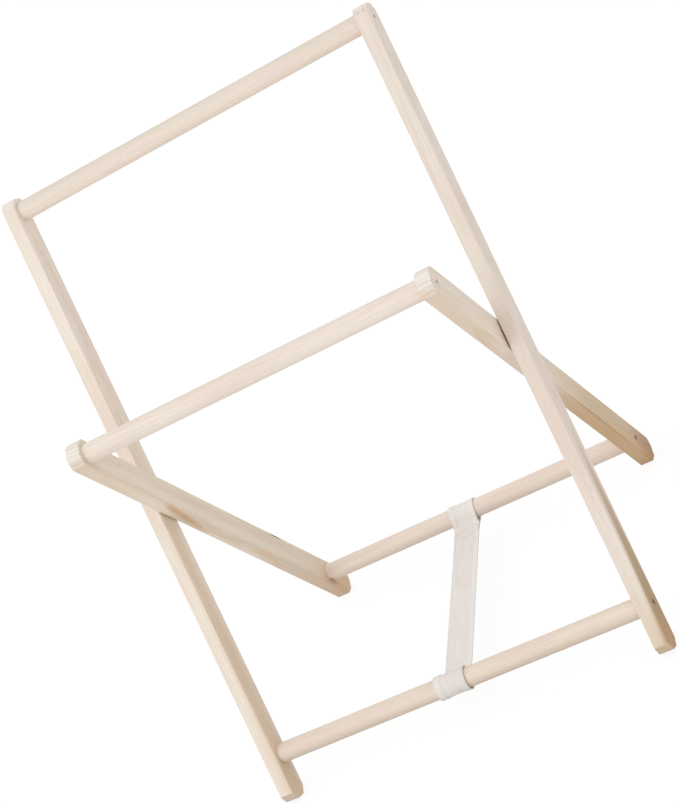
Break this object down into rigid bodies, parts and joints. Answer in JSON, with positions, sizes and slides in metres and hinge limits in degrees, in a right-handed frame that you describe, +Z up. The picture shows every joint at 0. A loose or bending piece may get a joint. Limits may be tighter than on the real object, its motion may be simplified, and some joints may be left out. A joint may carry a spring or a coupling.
{
  "type": "folding clothes stand",
  "caption": "Folding X-frame clothes stand of bare wood: a tall and a short frame of battens and round rails cross at hidden pivots, held open by a cotton strap.",
  "frame": {"origin": "on the floor, midway between the side bars and midway between the front and the rear of the stand", "axes": "+X along the rails, to the right as seen from the front; +Y to the rear, where the top of the long frame leans; +Z up"},
  "size_m": [0.644, 0.532, 0.8992],
  "materials": {
    "bar_wood": "planed and sanded pine, bare",
    "rail_wood": "turned and sanded pine, bare",
    "screw_steel": "zinc-plated",
    "pivot_steel": "turned, bare",
    "strap_cotton": "woven canvas, unbleached"
  },
  "bodies": {
    "long_frame": {"long_bar_left": "bar_wood", "long_bar_right": "bar_wood", "top_rail": "rail_wood", "front_rail": "rail_wood", "top_rail_screw_left": "screw_steel", "top_rail_screw_right": "screw_steel", "front_rail_screw_left": "screw_steel", "front_rail_screw_right": "screw_steel", "pivot_pin_left": "pivot_steel", "pivot_pin_right": "pivot_steel", "pivot_washer_left": "pivot_steel", "pivot_washer_right": "pivot_steel", "strap_front_loop": "strap_cotton", "strap_web": "strap_cotton"},
    "short_frame": {"short_bar_left": "bar_wood", "short_bar_right": "bar_wood", "middle_rail": "rail_wood", "rear_rail": "rail_wood", "middle_rail_screw_left": "screw_steel", "middle_rail_screw_right": "screw_steel", "rear_rail_screw_left": "screw_steel", "rear_rail_screw_right": "screw_steel", "strap_rear_loop": "strap_cotton"}
  },
  "joints": [
    {"name": "fold", "type": "hinge", "parent": "long_frame", "child": "short_frame", "pos_m": [0, -0.04039, 0.44062], "axis": [-1, 0, 0], "range_deg": [0, 54.9], "deforming": ["strap_web"]}
  ]
}
